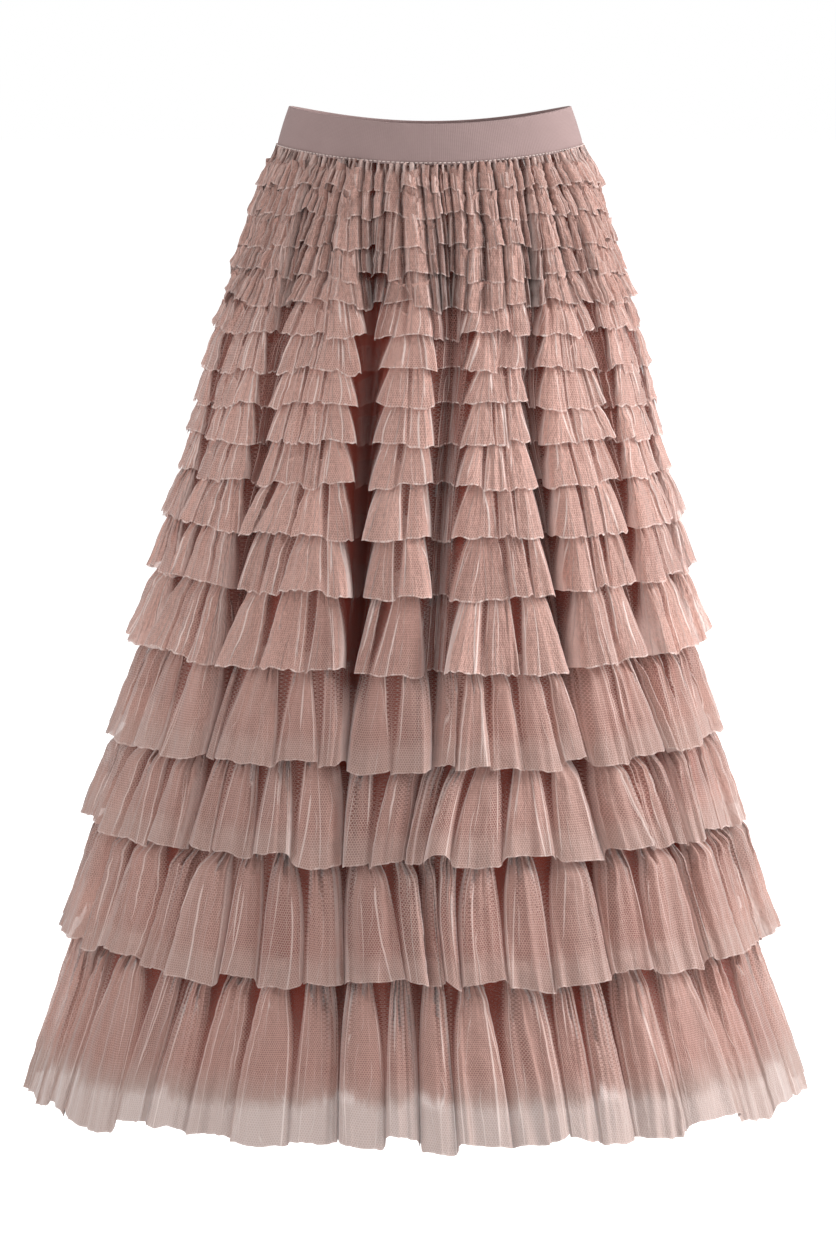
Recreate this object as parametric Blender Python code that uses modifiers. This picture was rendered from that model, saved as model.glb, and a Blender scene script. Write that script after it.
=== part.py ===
"""Tulle skirt: an elastic waistband, an opaque lining and seventeen gathered tulle tiers.

The skirt is modelled hollow, as it hangs when it is worn. Every piece is an open sheet lofted through
level rings and given its wall by a Solidify modifier. All rings share the same columns: each hanging fold
has one column at its bottom, one at each lip, and three across the flute that follows it.

Units are metres, +Z is up, the front faces -Y, and the origin is the centre of the waist.
A ring's level is its height at the sides of the skirt.
"""

import bpy
import numpy as np

NAME = "tulle_skirt"

# Waistband: a slightly conical elastic band.
BAND_TOP = 0.016
BAND_BOTTOM = -0.016
BAND_TOP_HALF_WIDTH = 0.1176
BAND_BOTTOM_HALF_WIDTH = 0.1273
WAIST_DEPTH_RATIO = 0.757
BAND_WALL = 0.002

# Cloth walls and the room that seams need.
CLOTH_WALL = 0.0012
SEAM_STAND = 0.0016
HEM_STAND = 0.0058
SEAM_COVER = 0.006
FIRST_SEAM = -0.0171

# The lining follows the body form from just under the waistband down to its own hem.
LINING_HEM = -0.795

# Body form. level: height at the sides. front_drop, back_drop: how far the ring hangs lower at the
# centre front and back. fold: share of each hanging fold's full depth.
SECTION_COLUMNS = ("level", "half_width", "half_depth", "centre_x", "front_drop", "back_drop", "fold")
SECTIONS = (
    (-0.0170, 0.1252, 0.0948, 0.0000, 0.012, 0.017, 0.03),
    (-0.0700, 0.1430, 0.1087, -0.0010, 0.000, 0.000, 0.12),
    (-0.1200, 0.1578, 0.1207, -0.0015, 0.000, 0.000, 0.24),
    (-0.1600, 0.1705, 0.1313, -0.0020, 0.000, 0.000, 0.38),
    (-0.1900, 0.1785, 0.1379, -0.0028, 0.000, 0.000, 0.52),
    (-0.2250, 0.1865, 0.1447, -0.0036, 0.000, 0.000, 0.68),
    (-0.2600, 0.1935, 0.1509, -0.0045, 0.000, 0.000, 0.82),
    (-0.3100, 0.2055, 0.1613, -0.0058, 0.000, 0.000, 0.95),
    (-0.4000, 0.2200, 0.1738, -0.0082, 0.000, 0.000, 1.00),
    (-0.5500, 0.2545, 0.1998, -0.0106, 0.000, 0.000, 1.00),
    (-0.6800, 0.2815, 0.2182, -0.0118, 0.000, 0.000, 1.00),
    (-0.7950, 0.3150, 0.2410, -0.0120, -0.018, -0.008, 1.00),
    (-0.8300, 0.3240, 0.2480, -0.0120, -0.018, -0.008, 1.00),
)

# Hanging folds, in order round the skirt. Angles in degrees from the centre front towards +X, at the
# waist and at the hem. depth: full depth in metres. lip: half the fold's width, in degrees.
FOLD_COLUMNS = ("angle_waist", "angle_hem", "depth", "lip")
FOLDS = (
    (-17, -15, 0.044, 3.8),
    (6, 1, 0.038, 3.8),
    (30, 35, 0.042, 4.4),
    (52, 56, 0.024, 4.6),
    (76, 77, 0.022, 4.6),
    (101, 100, 0.034, 4.6),
    (128, 126, 0.040, 4.4),
    (154, 153, 0.030, 4.6),
    (181, 180, 0.042, 4.6),
    (205, 207, 0.034, 4.4),
    (231, 232, 0.040, 4.6),
    (260, 259, 0.030, 4.6),
    (290, 290, 0.024, 4.6),
    (316, 315, 0.028, 4.8),
)
LIP_INSET = 0.14

# Tulle tiers from the waist down. hem: level of the hem. hem_drop: how far it hangs lower at the centre
# front and back. half_width: of the hem at its widest. wave: how far its ruffle waves swing in and out.
TIER_COLUMNS = ("hem", "hem_drop", "half_width", "wave")
TIERS = (
    (-0.0476, -0.0060, 0.1442, 0.000),
    (-0.0688, 0.0000, 0.1506, 0.000),
    (-0.0962, -0.0015, 0.1583, 0.000),
    (-0.1179, 0.0000, 0.1650, 0.000),
    (-0.1413, 0.0000, 0.1738, 0.000),
    (-0.1652, -0.0010, 0.1800, 0.000),
    (-0.1979, -0.0070, 0.1881, 0.000),
    (-0.2274, -0.0095, 0.1951, 0.000),
    (-0.2543, -0.0045, 0.2010, 0.000),
    (-0.2852, -0.0015, 0.2082, 0.000),
    (-0.3229, 0.0030, 0.2203, 0.000),
    (-0.3685, 0.0030, 0.2326, 0.000),
    (-0.4274, 0.0060, 0.2481, 0.000),
    (-0.5065, 0.0000, 0.2651, 0.010),
    (-0.5809, 0.0000, 0.2841, 0.011),
    (-0.6772, 0.0015, 0.3075, 0.012),
    (-0.8149, 0.0065, 0.3353, 0.013),
)
WAVED_RINGS = (0.0, 0.5, 1.0)
PLAIN_RINGS = (0.0, 1.0)
HEM_FOLD_KEEP = 0.88

# Columns of one flute, from a fold's bottom: share of the way from its lip to the next fold's lip,
# share of the fold's depth, and whether a ruffle wave swings out or in there.
FLUTE_COLUMNS = ("across", "inset", "swing")
FLUTE = (
    (None, 1.0, 0.0),
    (0.00, LIP_INSET, 1.0),
    (0.25, 0.0, -1.0),
    (0.50, 0.0, 1.0),
    (0.75, 0.0, -1.0),
    (1.00, LIP_INSET, 1.0),
)

TULLE_PINK = (0.60, 0.39, 0.35, 1.0)
LINING_ROSE = (0.26, 0.11, 0.09, 1.0)
BAND_MAUVE = (0.36, 0.27, 0.26, 1.0)


def column(table, names, name):
    """One named column of a table, as an array."""
    return np.array([row[names.index(name)] for row in table], float)


def at_level(levels, name):
    """A body-form value at each level, straight between the rows of SECTIONS."""
    rows = -column(SECTIONS, SECTION_COLUMNS, "level")
    return np.interp(-levels, rows, column(SECTIONS, SECTION_COLUMNS, name))


def column_angles(down):
    """Angle of every column, in radians, where down runs from 0 at the waist to 1 at the lowest hem."""
    waist = column(FOLDS, FOLD_COLUMNS, "angle_waist")
    hem = column(FOLDS, FOLD_COLUMNS, "angle_hem")
    lip = column(FOLDS, FOLD_COLUMNS, "lip")
    bottom = waist + (hem - waist) * down
    start = bottom + lip
    end = np.roll(bottom, -1) - np.roll(lip, -1)
    end[-1] += 360.0
    angles = [bottom if across is None else start + (end - start) * across for across, _, _ in FLUTE]
    return np.radians(np.stack(angles, axis=1).ravel())


def angles_at(levels):
    """Angle of each column at its own level."""
    down = np.clip((FIRST_SEAM - levels) / (FIRST_SEAM - TIERS[-1][0]), 0.0, 1.0)
    waist, hem = column_angles(0.0), column_angles(1.0)
    return waist + (hem - waist) * down


def fold_insets():
    """How far each column lies in from the body form where the folds are at full depth."""
    depth = column(FOLDS, FOLD_COLUMNS, "depth")
    insets = []
    for across, inset, _ in FLUTE:
        near = depth if across is None or across < 0.5 else np.roll(depth, -1)
        insets.append(near * inset)
    return np.stack(insets, axis=1).ravel()


def wave_swings():
    """+1 where a ruffle wave swings out, -1 where it swings in, 0 at a fold's bottom."""
    return np.tile(column(FLUTE, FLUTE_COLUMNS, "swing"), len(FOLDS))


def drop_share(angles):
    """1 at the centre front and back, 0 at the sides."""
    return np.cos(angles) ** 2


def oval_ring(levels, half_width, half_depth, inset):
    """Points of one ring: an oval pushed in along its own normal by inset, lowered by the waist's drop."""
    angles = angles_at(levels)
    sine, cosine = np.sin(angles), np.cos(angles)
    across, along = sine / half_width, -cosine / half_depth
    length = np.hypot(across, along)
    x = at_level(levels, "centre_x") + half_width * sine - inset * across / length
    y = -half_depth * cosine - inset * along / length
    front, back = at_level(levels, "front_drop"), at_level(levels, "back_drop")
    z = levels - drop_share(angles) * np.where(cosine > 0.0, front, back)
    return np.stack([x, y, z], axis=1)


def body_ring(levels, grow, keep):
    """A ring of the body form, let out by grow, with keep as the share of the folds' depth."""
    inset = fold_insets() * at_level(levels, "fold") * keep
    return oval_ring(levels, at_level(levels, "half_width"), at_level(levels, "half_depth"), inset - grow)


def lining_levels():
    """Levels of the lining's rings, from the waistband to its hem."""
    rows = column(SECTIONS, SECTION_COLUMNS, "level")
    return np.append(rows[rows > LINING_HEM], LINING_HEM)


def lining_rings():
    """The lining's rings, one for each of its levels."""
    count = len(fold_insets())
    return np.array([body_ring(np.full(count, level), 0.0, 1.0) for level in lining_levels()])


def ring_on_lining(levels):
    """Points on the lining's own facets, each column at its own level."""
    rings = lining_rings()
    rows = -lining_levels()
    points = [
        [np.interp(-level, rows, rings[:, index, axis]) for axis in range(3)]
        for index, level in enumerate(levels)
    ]
    return np.array(points)


def let_out(ring, distance):
    """Moves every edge of a ring outwards by a distance in its own plane, with mitred corners."""
    edge = np.roll(ring, -1, axis=0) - ring
    normal = np.stack([edge[:, 1], -edge[:, 0]], axis=1)
    normal /= np.linalg.norm(normal, axis=1, keepdims=True)
    before = np.roll(normal, 1, axis=0)
    mitre = (normal + before) / (1.0 + np.sum(normal * before, axis=1, keepdims=True))
    moved = ring.copy()
    moved[:, :2] += mitre * distance
    return moved


def tier_rings(index):
    """Rings of one tier, from its gathered seam on the lining to its hem."""
    hem, hem_drop, half_width, wave = TIERS[index]
    shares = WAVED_RINGS if wave else PLAIN_RINGS
    angles = angles_at(np.full(len(fold_insets()), hem))
    if index:
        seam_levels = TIERS[index - 1][0] + SEAM_COVER - TIERS[index - 1][1] * drop_share(angles)
    else:
        seam_levels = np.full(len(angles), FIRST_SEAM)
    hem_levels = hem - hem_drop * drop_share(angles)
    flare = half_width - wave / 2.0 - float(at_level(np.array([hem]), "half_width")[0])
    rings = []
    for share in shares:
        if share == 0.0:
            rings.append(let_out(ring_on_lining(seam_levels), SEAM_STAND))
            continue
        levels = seam_levels + (hem_levels - seam_levels) * share
        stand = SEAM_STAND + (HEM_STAND - SEAM_STAND) * share
        grow = (flare - HEM_STAND + wave_swings() * wave / 2.0) * share
        inner = body_ring(levels, grow, 1.0 - (1.0 - HEM_FOLD_KEEP) * share)
        rings.append(let_out(inner, stand))
    return np.array(rings)


def band_rings():
    """The waistband's two edges."""
    count = len(fold_insets())
    rings = []
    for level, half_width in ((BAND_TOP, BAND_TOP_HALF_WIDTH), (BAND_BOTTOM, BAND_BOTTOM_HALF_WIDTH)):
        rings.append(oval_ring(np.full(count, level), half_width, half_width * WAIST_DEPTH_RATIO, 0.0))
    return np.array(rings)


def cloth_material(name, colour, roughness):
    """A plain cloth finish in one colour."""
    material = bpy.data.materials.new(name)
    material.use_nodes = True
    shader = material.node_tree.nodes["Principled BSDF"]
    shader.inputs["Base Color"].default_value = colour
    shader.inputs["Roughness"].default_value = roughness
    shader.inputs["Metallic"].default_value = 0.0
    material.diffuse_color = colour
    return material


def cloth_piece(collection, name, rings, wall, material):
    """Lofts a sheet through rings, each four-sided facet creased inwards, with its wall on the inner side."""
    ring_count, count = rings.shape[:2]
    points = rings.reshape(-1, 3)
    faces = []
    for upper in range(ring_count - 1):
        for near in range(count):
            far = (near + 1) % count
            top_near, top_far = upper * count + near, upper * count + far
            low_near, low_far = top_near + count, top_far + count
            falling = points[low_far] - points[top_near]
            rising = points[top_far] - points[low_near]
            rise = points[[top_far, low_near]].sum(axis=0) - points[[top_near, low_far]].sum(axis=0)
            if np.dot(np.cross(falling, rising), rise) > 0.0:
                faces += [(top_near, low_near, low_far), (top_near, low_far, top_far)]
            else:
                faces += [(top_near, low_near, top_far), (low_near, low_far, top_far)]
    mesh = bpy.data.meshes.new(name)
    mesh.from_pydata(points.tolist(), [], faces)
    mesh.materials.append(material)
    piece = bpy.data.objects.new(name, mesh)
    collection.objects.link(piece)
    solidify = piece.modifiers.new("wall", "SOLIDIFY")
    solidify.thickness = wall
    solidify.offset = -1.0
    solidify.use_even_offset = True
    solidify.use_quality_normals = True
    return piece


def build():
    """Clears the scene and builds the whole skirt."""
    for old in list(bpy.data.objects):
        bpy.data.objects.remove(old, do_unlink=True)
    collection = bpy.data.collections.new(NAME)
    bpy.context.scene.collection.children.link(collection)

    elastic = cloth_material("elastic", BAND_MAUVE, 0.8)
    satin = cloth_material("lining_cloth", LINING_ROSE, 0.6)
    cloth_piece(collection, "waistband", band_rings(), BAND_WALL, elastic)
    cloth_piece(collection, "lining", lining_rings(), CLOTH_WALL, satin)
    for index in range(len(TIERS)):
        name = f"tier_{index + 1:02d}"
        tulle = cloth_material(f"tulle_{index + 1:02d}", TULLE_PINK, 0.7)
        cloth_piece(collection, name, tier_rings(index), CLOTH_WALL, tulle)


build()
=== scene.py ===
"""Tulle skirt: the looks of an elastic waistband, a lining and seventeen gathered net tiers.

The file is laid out as a Blender add-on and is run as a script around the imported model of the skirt.
Units are metres, +Z is up, the front faces -Y, and the origin is the centre of the waist.

Words used here. turn: a place on the cloth round the skirt, as the angle in degrees that it has at the
lowest hem, from the centre front towards +X. level: a height, as it is at the sides of the skirt.
out: how far a point stands off the body form, along the body's own normal. flute: one rounded wave of
a gathered tier. share: how far down a tier a point lies, from 0 at its seam to 1 at its hem.
"""

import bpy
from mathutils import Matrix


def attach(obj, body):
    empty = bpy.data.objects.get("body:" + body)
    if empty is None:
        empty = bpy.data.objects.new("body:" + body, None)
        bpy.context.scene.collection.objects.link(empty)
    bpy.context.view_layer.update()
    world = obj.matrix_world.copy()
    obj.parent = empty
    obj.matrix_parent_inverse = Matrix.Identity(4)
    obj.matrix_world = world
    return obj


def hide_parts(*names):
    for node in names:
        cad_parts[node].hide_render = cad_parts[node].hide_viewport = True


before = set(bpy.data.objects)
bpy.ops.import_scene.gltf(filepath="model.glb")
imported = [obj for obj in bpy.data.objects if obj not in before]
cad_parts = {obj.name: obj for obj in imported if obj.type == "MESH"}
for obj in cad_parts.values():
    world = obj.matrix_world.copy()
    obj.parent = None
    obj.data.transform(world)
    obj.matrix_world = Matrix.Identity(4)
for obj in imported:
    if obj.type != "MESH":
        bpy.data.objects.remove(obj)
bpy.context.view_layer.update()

from types import SimpleNamespace

import bmesh
import bpy
import numpy as np
from bpy.props import FloatProperty, FloatVectorProperty, IntProperty, PointerProperty
from mathutils import Vector

bl_info = {
    "name": "Tulle skirt",
    "version": (1, 0, 0),
    "blender": (4, 5, 0),
    "location": "3D View > Sidebar > Skirt",
    "description": "Makes a long skirt of gathered net tiers with a lining and an elastic waistband",
    "category": "Object",
}

# Waistband.
BAND_TOP = 0.016
BAND_BOTTOM = -0.016
BAND_TOP_HALF_WIDTH = 0.1176
BAND_BOTTOM_HALF_WIDTH = 0.1273
BAND_WALL = 0.0021
BAND_BULGE = 0.0006
BAND_WAVE = 0.0005
BAND_BACK_RISE = 0.0022
WAIST_DEPTH_RATIO = 0.757
STITCHES = 210
STITCH_RADIUS = 0.00055
STITCH_REACH = 0.82
STITCH_ABOVE_EDGE = 0.0016

# Lining.
LINING_TOP = -0.014
LINING_HEM = -0.798
LINING_UNDER = 0.0012
LINING_WALL = 0.0006
# Columns and rows of points.
LINING_GRID = (392, 46)

# Seams and hems. HEM_FOLD_KEEP: how much of a hanging fold's depth a tier's hem keeps.
FIRST_SEAM = -0.0171
SEAM_COVER = 0.006
HEM_FOLD_KEEP = 0.88
# A ring's mean radius, as a share of its half width.
MEAN_RADIUS = 0.89

# Body form. front_drop, back_drop: how far the ring hangs lower at the centre front and back.
# fold: share of each hanging fold's full depth.
SECTION_COLUMNS = ("level", "half_width", "half_depth", "centre_x", "front_drop", "back_drop", "fold")
SECTIONS = (
    (-0.0170, 0.1252, 0.0948, 0.0000, 0.012, 0.017, 0.03),
    (-0.0700, 0.1430, 0.1087, -0.0010, 0.000, 0.000, 0.12),
    (-0.1200, 0.1578, 0.1207, -0.0015, 0.000, 0.000, 0.24),
    (-0.1600, 0.1705, 0.1313, -0.0020, 0.000, 0.000, 0.38),
    (-0.1900, 0.1785, 0.1379, -0.0028, 0.000, 0.000, 0.52),
    (-0.2250, 0.1865, 0.1447, -0.0036, 0.000, 0.000, 0.68),
    (-0.2600, 0.1935, 0.1509, -0.0045, 0.000, 0.000, 0.82),
    (-0.3100, 0.2055, 0.1613, -0.0058, 0.000, 0.000, 0.95),
    (-0.4000, 0.2200, 0.1738, -0.0082, 0.000, 0.000, 1.00),
    (-0.5500, 0.2545, 0.1998, -0.0106, 0.000, 0.000, 1.00),
    (-0.6800, 0.2815, 0.2182, -0.0118, 0.000, 0.000, 1.00),
    (-0.7950, 0.3150, 0.2410, -0.0120, -0.018, -0.008, 1.00),
    (-0.8300, 0.3240, 0.2480, -0.0120, -0.018, -0.008, 1.00),
)

# Hanging folds, in order round the skirt. waist: the fold's angle at the waist. depth: full depth in
# metres. lip: half the width of the fold's form, in degrees. open_low, open_high: how many degrees the
# cloth's lip on the side of the lower and of the higher turns lies from the fold's bottom at a seam.
# close_low, close_high: the share of that by which it comes over the fold at a tier's hem. veil: how dense
# the net is inside the fold.
FOLD_COLUMNS = ("turn", "waist", "depth", "lip", "open_low", "open_high", "close_low", "close_high", "veil")
FOLDS = (
    (-11.5, -21, 0.044, 4.0, 5.4, 3.2, 0.66, 0.95, 0.10),
    (0.9, 4, 0.038, 4.0, 3.6, 6.2, 0.45, 0.46, 0.80),
    (32.8, 36, 0.042, 4.4, 3.6, 3.2, 0.40, 0.85, 0.80),
    (56, 52, 0.024, 4.6, 4.6, 4.6, 0.65, 0.65, 0.80),
    (77, 76, 0.022, 4.6, 4.6, 4.6, 0.65, 0.65, 0.80),
    (100, 101, 0.034, 4.6, 4.6, 4.6, 0.58, 0.72, 0.60),
    (126, 128, 0.040, 4.4, 4.4, 4.4, 0.72, 0.40, 0.40),
    (153, 154, 0.030, 4.6, 4.6, 4.6, 0.65, 0.65, 0.70),
    (180, 181, 0.042, 4.6, 4.6, 4.6, 0.45, 0.78, 0.35),
    (207, 205, 0.034, 4.4, 4.4, 4.4, 0.72, 0.58, 0.70),
    (232, 231, 0.040, 4.6, 4.6, 4.6, 0.65, 0.72, 0.40),
    (259, 260, 0.030, 4.6, 4.6, 4.6, 0.65, 0.65, 0.70),
    (290, 290, 0.024, 4.6, 4.6, 4.6, 0.65, 0.58, 0.80),
    (315, 316, 0.028, 4.8, 4.8, 4.8, 0.72, 0.58, 0.70),
)
# The three front folds hang in a bent line: level and angle of points on each.
FOLD_BENDS = {
    0: (
        (-0.100, -18.0), (-0.165, -15.3), (-0.227, -14.8), (-0.285, -14.7), (-0.330, -14.1), (-0.385, -13.8),
        (-0.440, -14.2), (-0.590, -13.6), (-0.690, -12.6),
    ),
    1: (
        (-0.100, 6.4), (-0.165, 6.8), (-0.227, 6.0), (-0.285, 4.8), (-0.330, 4.1), (-0.385, 3.7), (-0.470, 2.6),
        (-0.580, -0.4), (-0.690, 0.2),
    ),
    2: (
        (-0.140, 31.5), (-0.198, 28.4), (-0.254, 28.9), (-0.285, 29.8), (-0.330, 30.9), (-0.385, 32.2),
        (-0.470, 32.8), (-0.660, 33.2),
    ),
}
# How far round the closing of a hanging fold reaches, as a multiple of how far it lies open.
PINCH_REACH = 1.6

# Tulle tiers from the waist down. hem: level of the hem. hem_drop: how far it hangs lower at the centre
# front and back. half_width: of the hem at its widest. flute: width of a flute. steps: columns of points
# in a flute. rows: rows of points. pleats: fine gathers in a flute. gather: how deep they are at the
# seam. crumple: how uneven the cloth is. close: how far the lips of the hanging folds close at the hem.
# uneven: how far flutes hang longer or shorter. spread: share of its width that a flute keeps at the seam.
# soft: depth of the soft folds within a flute. gap: how wide a hanging fold lies open at the seam, as a
# share of its open_low and open_high. dip: how deep the cloth dips between flutes. puff: how early down
# the tier a flute fills out. tone: how light the tier's net is painted, as painted light and shade down the
# skirt: darker on the upper and lower tiers.
TIER_COLUMNS = (
    "hem", "hem_drop", "half_width", "flute", "steps", "rows", "pleats", "gather",
    "crumple", "close", "uneven", "spread", "soft", "gap", "dip", "puff", "tone",
)
TIERS = (
    (-0.0476, -0.0060, 0.1442, 0.0110, 14, 12, 2, 0.0021, 0.0016, 0.2, 0.0034, 0.80, 0.0006, 0.0, 0.30, 1.2, 0.87),
    (-0.0688, 0.0000, 0.1506, 0.0110, 14, 11, 2, 0.0016, 0.0020, 0.3, 0.0042, 0.80, 0.0006, 0.0, 0.35, 1.2, 0.88),
    (-0.0962, -0.0015, 0.1583, 0.0120, 14, 11, 2, 0.0016, 0.0022, 0.4, 0.0044, 0.75, 0.0007, 0.0, 0.40, 1.2, 0.89),
    (-0.1179, 0.0000, 0.1650, 0.0120, 14, 11, 2, 0.0016, 0.0022, 0.5, 0.0046, 0.75, 0.0008, 0.0, 0.40, 1.2, 0.92),
    (-0.1413, 0.0000, 0.1738, 0.0130, 14, 11, 2, 0.0016, 0.0020, 0.7, 0.0050, 0.70, 0.0008, 0.0, 0.45, 1.2, 0.95),
    (-0.1652, -0.0010, 0.1800, 0.0150, 18, 12, 3, 0.0016, 0.0018, 0.9, 0.0044, 0.70, 0.0009, 0.60, 0.45, 1.2, 0.97),
    (-0.1979, -0.0070, 0.1881, 0.0160, 20, 12, 3, 0.0016, 0.0016, 1.0, 0.0036, 0.70, 0.0010, 1.0, 0.50, 1.2, 0.99),
    (-0.2274, -0.0095, 0.1951, 0.0170, 20, 12, 3, 0.0016, 0.0015, 1.0, 0.0034, 0.65, 0.0010, 1.0, 0.50, 1.2, 1.01),
    (-0.2543, -0.0045, 0.2010, 0.0170, 20, 12, 3, 0.0016, 0.0014, 1.0, 0.0032, 0.65, 0.0010, 0.9, 0.50, 1.2, 1.01),
    (-0.2852, -0.0015, 0.2082, 0.0180, 20, 12, 3, 0.0016, 0.0013, 1.0, 0.0032, 0.62, 0.0013, 0.8, 0.55, 1.2, 1.00),
    (-0.3229, 0.0030, 0.2203, 0.0220, 22, 17, 4, 0.0017, 0.0012, 1.0, 0.0028, 0.60, 0.0016, 0.7, 0.60, 1.3, 0.97),
    (-0.3685, 0.0030, 0.2326, 0.0240, 22, 18, 4, 0.0017, 0.0012, 1.0, 0.0030, 0.58, 0.0019, 0.65, 0.65, 1.3, 0.93),
    (-0.4274, 0.0060, 0.2481, 0.0270, 24, 19, 4, 0.0017, 0.0012, 1.0, 0.0034, 0.55, 0.0022, 0.65, 0.70, 1.4, 0.88),
    (-0.5065, 0.0000, 0.2651, 0.0310, 26, 24, 5, 0.0018, 0.0012, 0.8, 0.0050, 0.55, 0.0025, 0.0, 0.85, 1.8, 0.79),
    (-0.5809, 0.0000, 0.2841, 0.0350, 28, 24, 6, 0.0018, 0.0012, 0.6, 0.0056, 0.55, 0.0027, 0.0, 0.90, 2.6, 0.75),
    (-0.6772, 0.0015, 0.3075, 0.0410, 32, 28, 7, 0.0019, 0.0012, 0.5, 0.0062, 0.50, 0.0030, 0.0, 0.95, 4.6, 0.76),
    (-0.8149, 0.0065, 0.3353, 0.0450, 36, 34, 8, 0.0020, 0.0011, 0.4, 0.0075, 0.48, 0.0032, 0.0, 0.95, 3.8, 0.80),
)
# Tiers are counted from 0. The finely gathered ones on the hips come before UPPER_END, and the deep ones,
# whose flutes bridge the hanging folds, start at FIRST_WIDE. FINISHES changes at the same tiers.
UPPER_END = 5
FIRST_WIDE = 13
# Flutes that are listed, by tier: the angles of the valleys between them, at the hem.
SET_VALLEYS = {
    13: (-21.0, -14.0, -6.6, 1.2, 7.3, 12.5, 18.1, 25.6, 31.6),
    14: (-30.0, -23.1, -13.6, -7.4, -0.6, 4.0, 8.5, 15.9, 23.9, 34.0, 42.0),
    15: (-61.5, -49.6, -40.6, -32.8, -26.6, -20.1, -12.4, -4.3, 0.1, 4.1, 8.2, 15.0, 22.5, 32.9, 41.2, 51.8),
    16: (-61.9, -49.4, -41.0, -33.8, -25.7, -18.9, -11.5, -4.4, 0.9, 6.5, 12.8, 21.6, 26.3, 32.8, 41.8, 52.8),
}
# The cloth above a seam, sewn in under the tier before it.
HEADING = 0.013
FIRST_HEADING = 0.0025
HEADING_ROWS = 4
# A flute's cloth: the share of it that stands up, and the rest lies flat in the valleys beside it.
FLANK = 0.86
HEM_REACH = 0.95
# Creases of a flute. A crease's value is its distance over its width, and ENDED where it has ended.
CREASE_LABELS = ("first_line", "second_line", "shoulder_line")
CREASE_WIDTH = 0.0008
CREASE_RIDGE = 0.0007
ENDED = 9.0
# How far the cloth stands off the body form: at least, between flutes at a seam, and how much farther at a
# hem. CREST_INSET: how far a flute's crest stays inside the hem's full width.
LEAST_OUT = 0.0004
SEAM_OUT = 0.0021
HEM_MORE_OUT = 0.0014
CREST_INSET = 0.0029
# Flutes: widths beside the mean width, and heights. Some stay low, and the gap in an open fold is lowest.
UNEVEN_WIDTHS = (0.55, 1.45)
HEIGHTS = (0.62, 1.05)
LOW_SHARE = 0.18
LOW_HEIGHT = 0.42
GAP_HEIGHT = 0.12
# Widths of the crumples on the upper tiers and on the others.
CRUMPLE_WIDTHS = (0.0052, 0.007)
# How uneven the raw hem is on the upper and the deep tiers, and on those between them.
HEM_FRAYS = (0.0006, 0.0015)
# Upright pipes of the gathered hips, and the gathers right under the waistband.
PIPES = 70
PIPE_DEPTH = 0.0085
TEETH = 150
TEETH_DEPTH = 0.0034
TEETH_FADE = 0.0090
# How much painted shade a hanging fold puts on the closed tiers over it, by tier, and the depth that gets it in
# full.
FOLD_SHADES = {2: 0.55, 3: 0.85, 4: 1.00, 5: 0.90}
FULL_SHADE_DEPTH = 0.044

# Finishes of the net, and the first tier of each. deep: how light the painted shade in the valleys is.
# veil: how dense the net is between its threads. streak: width of the streaks down the cloth. crinkle: how
# crinkled it is. fine, lines: how much fine streaks and creases show, as painted highlights on denser net.
# threads: how much single threads show as painted highlights. raw: how light the raw edge is painted, a
# painted highlight. hem_shade, hem_reach: how strongly and how high up the hem's painted shade colour
# comes, with denser net.
FINISH_COLUMNS = (
    "name", "first", "deep", "veil", "streak", "crinkle",
    "fine", "lines", "threads", "raw", "hem_shade", "hem_reach",
)
FINISHES = (
    ("tulle_upper", 0, 0.26, 0.66, 0.0035, 1.0, 0.25, 0.50, 0.00, 0.60, 0.00, 0.020),
    ("tulle_middle", 5, 0.80, 0.54, 0.0050, 0.8, 0.65, 0.90, 0.15, 0.80, 0.00, 0.020),
    ("tulle_lower", 13, 1.00, 0.46, 0.0070, 0.5, 0.55, 0.72, 0.20, 0.45, 0.35, 0.030),
    ("tulle_lowest", 16, 1.00, 0.48, 0.0070, 0.5, 0.55, 0.72, 0.18, 0.40, 0.76, 0.060),
)

# Stage. LIGHTS: each area light's name, power and size, and its azimuth and elevation round LIGHT_AIM.
CAMERA_AT = (-0.010, -3.5, 0.106)
CAMERA_AIM = (-0.010, 0.0, -0.421)
LIGHT_AIM = (0.0, 0.0, -0.42)
LIGHT_DISTANCE = 3.6
LIGHTS = (
    ("key_light", "key_power", 2.0, 82.0, 22.0),
    ("fill_light", "fill_power", 2.4, -60.0, 12.0),
    ("back_light", "fill_power", 2.4, 180.0, 30.0),
)
FLOOR_HALF = 30.0
WHITE = (1.0, 1.0, 1.0, 1.0)
# Half the square root of 3: how far apart the rows of the net's cells lie, in widths of a cell.
HEXAGON_ROW = 0.8660254


def columns(names, rows):
    """A table as one array for each of its named columns."""
    return dict(zip(names, np.array(rows, float).T))


BODY = columns(SECTION_COLUMNS, SECTIONS)
FOLD = columns(FOLD_COLUMNS, FOLDS)
LOOKS = [SimpleNamespace(**dict(zip(TIER_COLUMNS, row))) for row in TIERS]


def smooth_through(rows, values, where):
    """A cubic curve through a table of values: Hermite spans whose slopes are those of the neighbours."""
    slopes = np.gradient(values, rows)
    place = np.clip(where, rows[0], rows[-1])
    index = np.clip(np.searchsorted(rows, place, side="right") - 1, 0, len(rows) - 2)
    span = rows[index + 1] - rows[index]
    t = (place - rows[index]) / span
    low, high = values[index], values[index + 1]
    start = t * (1.0 - t) ** 2 * span * slopes[index]
    end = t * t * (t - 1.0) * span * slopes[index + 1]
    return low + (high - low) * ease(t) + start + end


def body_at(levels, name):
    """A body-form value at each level, smooth between the rows of SECTIONS."""
    return smooth_through(-BODY["level"], BODY[name], -levels)


def ease(t):
    """3 t^2 - 2 t^3, which leaves 0 and reaches 1 level."""
    return t * t * (3.0 - 2.0 * t)


def smooth_step(low, high, value):
    """0 at low, 1 at high, and eased between them."""
    return ease(np.clip((value - low) / (high - low), 0.0, 1.0))


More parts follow.
